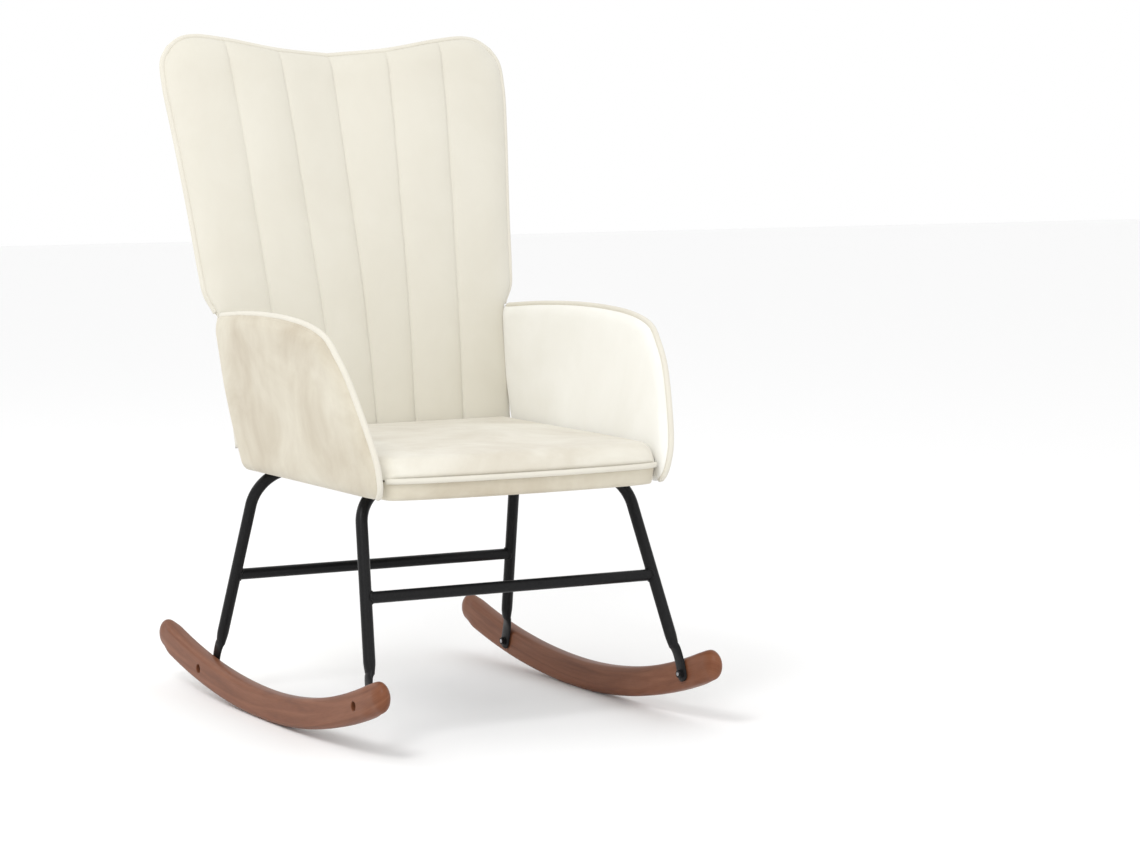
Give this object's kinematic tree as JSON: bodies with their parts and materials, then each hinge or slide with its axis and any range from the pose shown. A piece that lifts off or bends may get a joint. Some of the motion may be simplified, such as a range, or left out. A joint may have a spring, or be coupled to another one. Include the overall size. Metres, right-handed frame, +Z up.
{
  "type": "rocking chair",
  "caption": "Upholstered wing-back rocking chair with padded arms, channelled back, bent-tube steel leg frames and curved wooden rockers.",
  "frame": {"origin": "on the floor, midway between the rockers and midway along their length, where the rockers touch the floor", "axes": "+Z up, the sitter faces -Y, +X is the sitter's left"},
  "size_m": [0.5762, 0.7728, 0.9797],
  "materials": {
    "velvet": "matte",
    "welt_velvet": "matte",
    "plywood": "matte",
    "stained_wood": "satin",
    "black_steel": "satin",
    "zinc_steel": "satin",
    "felt": "matte"
  },
  "bodies": {
    "root": {"rocker_left": "stained_wood", "rocker_bolt_front_left": "zinc_steel", "rocker_nut_front_left": "zinc_steel", "arm_screw_front_left": "zinc_steel", "frame_screw_front_left": "zinc_steel", "rocker_bolt_rear_left": "zinc_steel", "rocker_nut_rear_left": "zinc_steel", "arm_screw_rear_left": "zinc_steel", "frame_screw_rear_left": "zinc_steel", "arm_board_left": "plywood", "arm_inner_pad_left": "velvet", "arm_outer_pad_left": "velvet", "arm_welt_left": "welt_velvet", "back_bracket_left": "zinc_steel", "bracket_screw_seat_left": "zinc_steel", "bracket_screw_back_left": "zinc_steel", "rocker_right": "stained_wood", "rocker_bolt_front_right": "zinc_steel", "rocker_nut_front_right": "zinc_steel", "arm_screw_front_right": "zinc_steel", "frame_screw_front_right": "zinc_steel", "rocker_bolt_rear_right": "zinc_steel", "rocker_nut_rear_right": "zinc_steel", "arm_screw_rear_right": "zinc_steel", "frame_screw_rear_right": "zinc_steel", "arm_board_right": "plywood", "arm_inner_pad_right": "velvet", "arm_outer_pad_right": "velvet", "arm_welt_right": "welt_velvet", "back_bracket_right": "zinc_steel", "bracket_screw_seat_right": "zinc_steel", "bracket_screw_back_right": "zinc_steel", "leg_hoop_front": "black_steel", "leg_stretcher_front": "black_steel", "leg_hoop_rear": "black_steel", "leg_stretcher_rear": "black_steel", "seat_board": "plywood", "seat_batten": "plywood", "seat_cushion": "velvet", "seat_welt": "welt_velvet", "dust_cover": "felt", "back_pad": "velvet", "back_board": "plywood", "back_cover": "velvet", "back_welt": "welt_velvet"}
  },
  "joints": []
}
